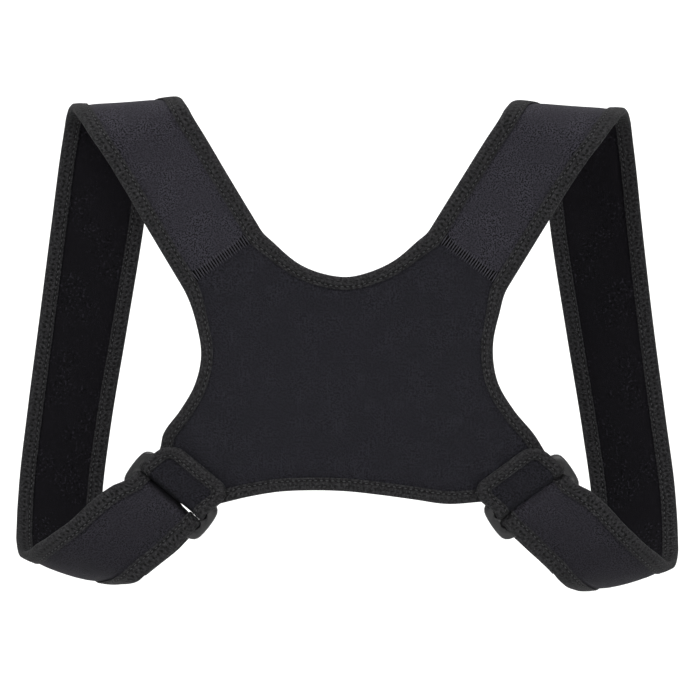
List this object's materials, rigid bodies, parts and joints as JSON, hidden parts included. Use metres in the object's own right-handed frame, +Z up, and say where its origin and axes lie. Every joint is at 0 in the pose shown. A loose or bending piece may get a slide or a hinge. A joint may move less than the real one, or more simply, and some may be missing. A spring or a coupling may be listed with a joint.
{
  "type": "posture corrector",
  "caption": "Upper-back posture corrector: a bowed padded panel with wide padded shoulder straps that pass under the arms to plastic rings on the panel's lower corners.",
  "frame": {"origin": "between the two strap arches, at the height of their underside, where the wearer's shoulders carry the brace", "axes": "+X towards the wearer's right, +Y towards the wearer's front, +Z up"},
  "size_m": [0.4273, 0.1103, 0.3093],
  "materials": {
    "panel_fabric": "fine knit over padding",
    "strap_fabric": "smooth fine knit outside, dark brushed loop cloth inside",
    "tab_fabric": "fine knit over padding",
    "edge_tape": "ribbed elastic tape with a stitch line",
    "ring_plastic": "moulded, semi-gloss"
  },
  "bodies": {
    "root": {"back_panel": "panel_fabric", "left_strap": "strap_fabric", "right_strap": "strap_fabric", "left_tab": "tab_fabric", "right_tab": "tab_fabric", "neck_binding": "edge_tape", "hem_binding": "edge_tape", "left_arm_binding": "edge_tape", "right_arm_binding": "edge_tape", "left_tab_binding": "edge_tape", "right_tab_binding": "edge_tape", "left_ring": "ring_plastic", "right_ring": "ring_plastic"}
  },
  "joints": []
}
